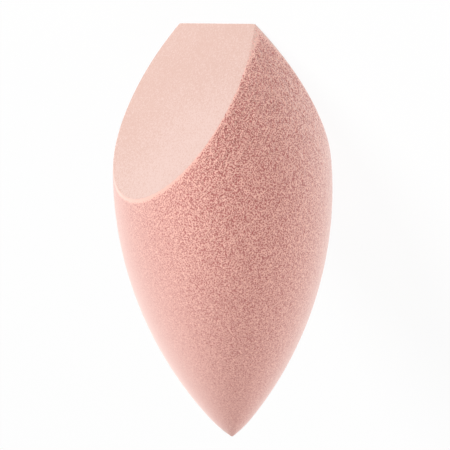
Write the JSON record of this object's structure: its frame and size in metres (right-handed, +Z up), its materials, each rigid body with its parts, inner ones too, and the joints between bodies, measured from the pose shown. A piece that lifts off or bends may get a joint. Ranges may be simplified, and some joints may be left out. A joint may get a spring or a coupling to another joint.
{
  "type": "makeup sponge",
  "caption": "Pointed, lemon-shaped foam makeup sponge whose blunt end is cut to a straight ridge by flat faces, for dabbing and blending make-up on the face.",
  "frame": {"origin": "on the surface that the sponge lies on, below the middle of the box around it", "axes": "+Z up, square to the cut face that the sponge lies on; +X from the ridge towards the raised tip; Y along the ridge"},
  "size_m": [0.0572, 0.036, 0.0389],
  "materials": {
    "cut_foam": "matt, fine open cells, pale pink polyurethane foam cut by a blade",
    "moulded_foam": "matt, finely pebbled, pink polyurethane foam as it comes out of the mould"
  },
  "bodies": {
    "root": {"foam_core": "cut_foam", "moulded_skin": "moulded_foam"}
  },
  "joints": []
}
